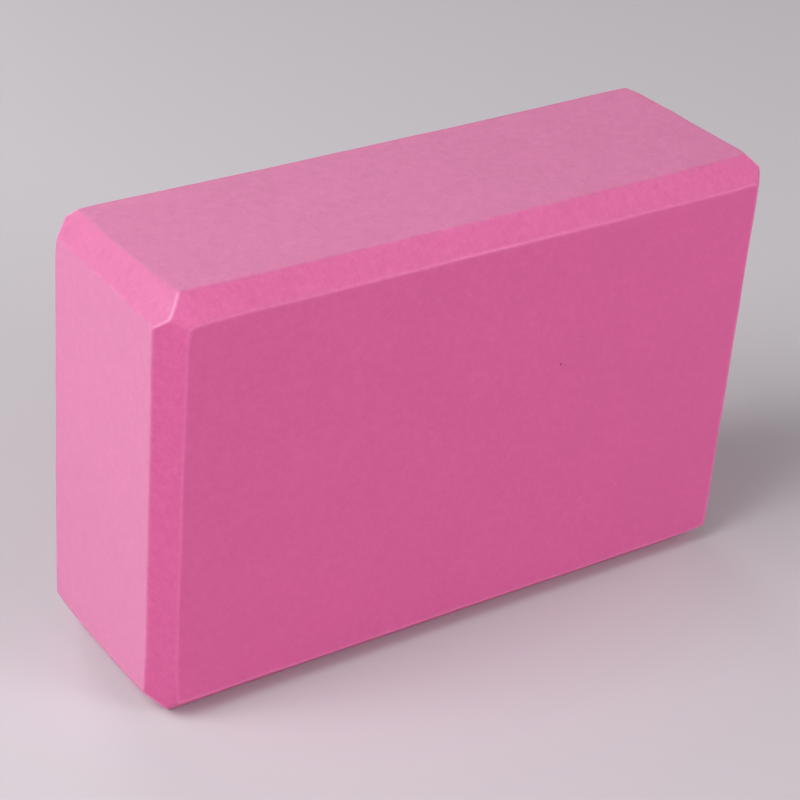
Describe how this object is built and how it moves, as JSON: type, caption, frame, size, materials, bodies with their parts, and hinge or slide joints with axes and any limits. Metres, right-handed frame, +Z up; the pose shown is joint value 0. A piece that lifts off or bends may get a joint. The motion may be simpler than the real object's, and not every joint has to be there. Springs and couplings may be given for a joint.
{
  "type": "yoga block",
  "caption": "Rectangular foam block with bevelled edges and mitred corners, gripped, sat on or leaned on as a support in yoga and stretching.",
  "frame": {"origin": "middle of the long narrow side that the block stands on", "axes": "+X along the length, +Y through the thickness from the front large face to the back one, +Z up"},
  "size_m": [0.23, 0.076, 0.15],
  "materials": {
    "foam": "matte"
  },
  "bodies": {
    "root": {"foam_block": "foam"}
  },
  "joints": []
}
